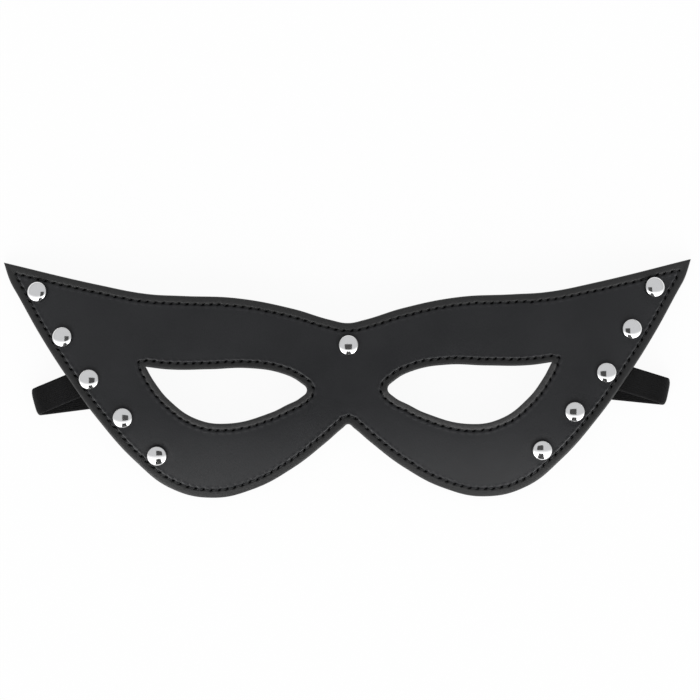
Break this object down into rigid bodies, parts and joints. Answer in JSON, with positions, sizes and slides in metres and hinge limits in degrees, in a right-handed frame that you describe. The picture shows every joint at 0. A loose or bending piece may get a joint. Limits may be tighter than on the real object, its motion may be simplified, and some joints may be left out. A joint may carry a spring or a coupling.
{
  "type": "studded eye mask",
  "caption": "Cat-eye shaped leather eye mask with upswept pointed tips, almond eye holes, dome rivets down each side and an elastic head strap folded behind it.",
  "frame": {"origin": "middle of the mask on the surface it lies on", "axes": "+X along the mask's width to the right tip, +Y from the lobes up to the brow, +Z off the surface, out of the front face"},
  "size_m": [0.25, 0.086, 0.0126],
  "materials": {
    "leather": "satin",
    "cap": "polished",
    "back": "satin",
    "elastic": "matte"
  },
  "bodies": {
    "root": {"mask_panel": "leather", "stud_cap_centre": "cap", "stud_cap_left_1": "cap", "stud_cap_left_2": "cap", "stud_cap_left_3": "cap", "stud_cap_left_4": "cap", "stud_cap_left_5": "cap", "stud_cap_right_1": "cap", "stud_cap_right_2": "cap", "stud_cap_right_3": "cap", "stud_cap_right_4": "cap", "stud_cap_right_5": "cap", "rivet_back_centre": "back", "rivet_back_left_1": "back", "rivet_back_left_2": "back", "rivet_back_left_3": "back", "rivet_back_left_4": "back", "rivet_back_left_5": "back", "rivet_back_right_1": "back", "rivet_back_right_2": "back", "rivet_back_right_3": "back", "rivet_back_right_4": "back", "rivet_back_right_5": "back", "elastic_strap": "elastic"}
  },
  "joints": []
}
